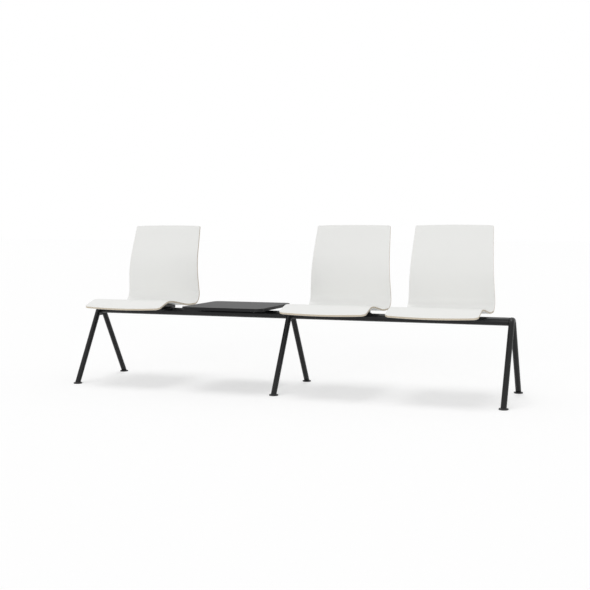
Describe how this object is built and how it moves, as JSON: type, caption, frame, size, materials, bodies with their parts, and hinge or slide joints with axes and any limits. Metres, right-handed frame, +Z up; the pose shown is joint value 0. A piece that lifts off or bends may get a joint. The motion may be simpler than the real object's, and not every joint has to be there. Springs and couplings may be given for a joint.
{
  "type": "beam seating",
  "caption": "Public beam seating: moulded plywood seats and a low square table on a round tubular beam, carried by A-shaped bent-tube legs with levelling feet.",
  "frame": {"origin": "on the floor, at the middle of the whole object's footprint box", "axes": "+X along the beam towards the seat end on the right of the picture, +Y from the seats' front edge to their backs, +Z up"},
  "size_m": [2.448, 0.6304, 0.8983],
  "materials": {
    "black_powder_coat": "satin black powder coat on steel",
    "white_laminate": "smooth white laminate with a low sheen",
    "ply_core": "clear-lacquered beech plywood, seen at the edge",
    "black_board": "board with a fine-textured black laminate face",
    "black_edge_band": "matt black edge band",
    "black_nylon": "moulded black nylon with a fine grain",
    "zinc_steel": "bright zinc plate",
    "black_steel": "black oxide on steel screws"
  },
  "bodies": {
    "bench": {"left_frame": "black_powder_coat", "left_frame_web": "black_powder_coat", "middle_frame": "black_powder_coat", "middle_frame_web": "black_powder_coat", "right_frame": "black_powder_coat", "right_frame_web": "black_powder_coat", "leg_plugs": "black_nylon", "left_spigot": "black_powder_coat", "middle_left_spigot": "black_powder_coat", "middle_right_spigot": "black_powder_coat", "right_spigot": "black_powder_coat", "left_beam": "black_powder_coat", "right_beam": "black_powder_coat", "beam_set_screws": "zinc_steel", "beam_rivet_nuts": "zinc_steel", "bracket_screws": "black_steel", "seat_1_face": "white_laminate", "seat_1_core": "ply_core", "seat_1_back_face": "white_laminate", "seat_1_left_bracket": "black_powder_coat", "seat_1_right_bracket": "black_powder_coat", "seat_1_inserts": "zinc_steel", "seat_1_screws": "black_steel", "seat_2_face": "white_laminate", "seat_2_core": "ply_core", "seat_2_back_face": "white_laminate", "seat_2_left_bracket": "black_powder_coat", "seat_2_right_bracket": "black_powder_coat", "seat_2_inserts": "zinc_steel", "seat_2_screws": "black_steel", "seat_3_face": "white_laminate", "seat_3_core": "ply_core", "seat_3_back_face": "white_laminate", "seat_3_left_bracket": "black_powder_coat", "seat_3_right_bracket": "black_powder_coat", "seat_3_inserts": "zinc_steel", "seat_3_screws": "black_steel", "table_board": "black_board", "table_edge_band": "black_edge_band", "table_left_bracket": "black_powder_coat", "table_right_bracket": "black_powder_coat", "table_screws": "zinc_steel"},
    "left_front_foot": {"left_front_foot_pad": "black_nylon", "left_front_foot_stud": "zinc_steel"},
    "left_rear_foot": {"left_rear_foot_pad": "black_nylon", "left_rear_foot_stud": "zinc_steel"},
    "middle_front_foot": {"middle_front_foot_pad": "black_nylon", "middle_front_foot_stud": "zinc_steel"},
    "middle_rear_foot": {"middle_rear_foot_pad": "black_nylon", "middle_rear_foot_stud": "zinc_steel"},
    "right_front_foot": {"right_front_foot_pad": "black_nylon", "right_front_foot_stud": "zinc_steel"},
    "right_rear_foot": {"right_rear_foot_pad": "black_nylon", "right_rear_foot_stud": "zinc_steel"}
  },
  "joints": [
    {"name": "left_front_foot_level", "type": "slide", "parent": "bench", "child": "left_front_foot", "axis": [0, 0, -1], "range_m": [0, 0.008]},
    {"name": "left_rear_foot_level", "type": "slide", "parent": "bench", "child": "left_rear_foot", "axis": [0, 0, -1], "range_m": [0, 0.008]},
    {"name": "middle_front_foot_level", "type": "slide", "parent": "bench", "child": "middle_front_foot", "axis": [0, 0, -1], "range_m": [0, 0.008]},
    {"name": "middle_rear_foot_level", "type": "slide", "parent": "bench", "child": "middle_rear_foot", "axis": [0, 0, -1], "range_m": [0, 0.008]},
    {"name": "right_front_foot_level", "type": "slide", "parent": "bench", "child": "right_front_foot", "axis": [0, 0, -1], "range_m": [0, 0.008]},
    {"name": "right_rear_foot_level", "type": "slide", "parent": "bench", "child": "right_rear_foot", "axis": [0, 0, -1], "range_m": [0, 0.008]}
  ]
}
